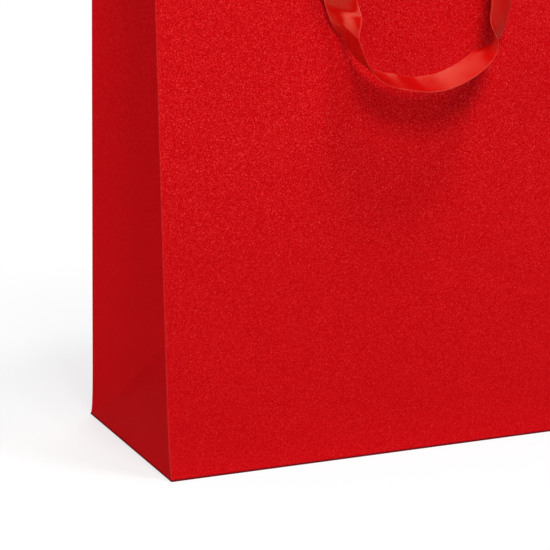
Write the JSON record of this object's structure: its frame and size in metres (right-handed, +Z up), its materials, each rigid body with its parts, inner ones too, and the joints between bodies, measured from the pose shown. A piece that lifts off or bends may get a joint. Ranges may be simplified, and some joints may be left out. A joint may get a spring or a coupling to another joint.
{
  "type": "gift bag",
  "caption": "Open paper gift bag with a flat rectangular base, tucked side gussets, a turned-in rim and satin ribbon handles knotted through punched holes.",
  "frame": {"origin": "centre of the rectangular footprint, on the surface that the bag stands on", "axes": "+Z up, +X across the bag's width, -Y towards the front panel"},
  "size_m": [0.26, 0.1456, 0.32],
  "materials": {
    "red_paper": "satin",
    "red_satin": "satin",
    "greyboard": "matte"
  },
  "bodies": {
    "bag": {"front_panel": "red_paper", "back_panel": "red_paper", "left_gusset_front": "red_paper", "left_gusset_back": "red_paper", "left_gusset_base": "red_paper", "right_gusset_front": "red_paper", "right_gusset_back": "red_paper", "right_gusset_base": "red_paper", "side_seam_flap": "red_paper", "front_hem": "red_paper", "back_hem": "red_paper", "left_hem_front": "red_paper", "left_hem_back": "red_paper", "right_hem_front": "red_paper", "right_hem_back": "red_paper", "front_card": "greyboard", "back_card": "greyboard", "base_flap_front": "red_paper", "base_flap_back": "red_paper", "base_flap_left": "red_paper", "base_flap_right": "red_paper", "base_board": "greyboard", "front_knot_left": "red_satin", "front_knot_right": "red_satin", "back_knot_left": "red_satin", "back_knot_right": "red_satin"},
    "front_handle": {"front_ribbon": "red_satin"},
    "back_handle": {"back_ribbon": "red_satin"}
  },
  "joints": [
    {"name": "front_handle_swing", "type": "hinge", "parent": "bag", "child": "front_handle", "pos_m": [0, -0.0426, 0.29], "axis": [-1, 0, 0], "range_deg": [0, 160]},
    {"name": "back_handle_swing", "type": "hinge", "parent": "bag", "child": "back_handle", "pos_m": [0, 0.0426, 0.29], "axis": [1, 0, 0], "range_deg": [0, 160]}
  ]
}
